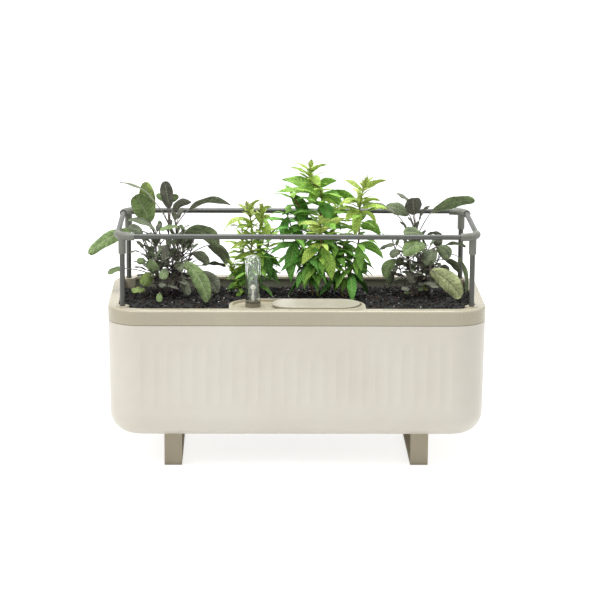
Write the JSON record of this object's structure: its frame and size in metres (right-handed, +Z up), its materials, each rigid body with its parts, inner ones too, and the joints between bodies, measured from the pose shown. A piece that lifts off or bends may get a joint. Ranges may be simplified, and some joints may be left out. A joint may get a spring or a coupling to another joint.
{
  "type": "self-watering herb planter",
  "caption": "Self-watering herb planter: fluted pot on two sled feet, planted soil tub under a rim frame, clear float gauge, refill lid and tube frame for tall herbs.",
  "frame": {"origin": "centre of the standing plane, midway between the two feet", "axes": "+Z up, front with the gauge and lid towards -Y, +X to the right seen from the front"},
  "size_m": [0.638, 0.29, 0.481],
  "materials": {
    "cream_body": "moulded cream polypropylene, fine matt grain",
    "taupe_frame": "moulded taupe plastic, fine matt grain",
    "screw_steel": "zinc-plated steel",
    "plug_rubber": "black rubber",
    "tub_olive": "dark grey-olive plastic, matt",
    "collar_grey": "grey-taupe plastic, matt",
    "clear_dome": "clear moulded acrylic",
    "indicator_cream": "cream plastic, smooth",
    "float_plastic": "off-white foamed plastic",
    "lid_beige": "light taupe plastic, fine matt grain",
    "soil": "dark potting mix with white perlite grains",
    "tube_grey": "dark grey coated steel tube",
    "connector_grey": "grey moulded plastic",
    "sage_leaf": "grey-green felted leaves on purple-grey stems",
    "verbena_leaf": "bright green veined leaves on thin stems"
  },
  "bodies": {
    "pot": {"outer_pot": "cream_body", "left_foot": "taupe_frame", "right_foot": "taupe_frame", "foot_screws": "screw_steel"},
    "insert": {"inner_tub": "tub_olive", "wick_basket_left": "tub_olive", "wick_basket_right": "tub_olive", "rim_frame": "taupe_frame", "gauge_collar": "collar_grey", "gauge_dome": "clear_dome", "float_guide": "collar_grey", "potting_soil": "soil", "post_front_left": "tube_grey", "post_front_right": "tube_grey", "post_back_left": "tube_grey", "post_back_right": "tube_grey", "connector_front_left": "connector_grey", "connector_front_right": "connector_grey", "connector_back_left": "connector_grey", "connector_back_right": "connector_grey", "front_rail": "tube_grey", "back_rail": "tube_grey", "left_rail": "tube_grey", "right_rail": "tube_grey", "sage_left": "sage_leaf", "verbena_small": "verbena_leaf", "verbena_centre": "verbena_leaf", "verbena_right": "verbena_leaf", "sage_right": "sage_leaf"},
    "indicator": {"indicator_rod": "indicator_cream", "float_body": "float_plastic"},
    "lid": {"refill_lid": "lid_beige"},
    "plug": {"drain_plug": "plug_rubber"}
  },
  "joints": [
    {"name": "insert_lift", "type": "slide", "parent": "pot", "child": "insert", "axis": [0, 0, 1], "range_m": [0, 0.24]},
    {"name": "float_rise", "type": "slide", "parent": "insert", "child": "indicator", "axis": [0, 0, 1], "range_m": [-0.02, 0.035]},
    {"name": "lid_lift", "type": "slide", "parent": "insert", "child": "lid", "axis": [0, 0, 1], "range_m": [0, 0.06]},
    {"name": "plug_pull", "type": "slide", "parent": "pot", "child": "plug", "axis": [0, 0, -1], "range_m": [0, 0.03]}
  ]
}
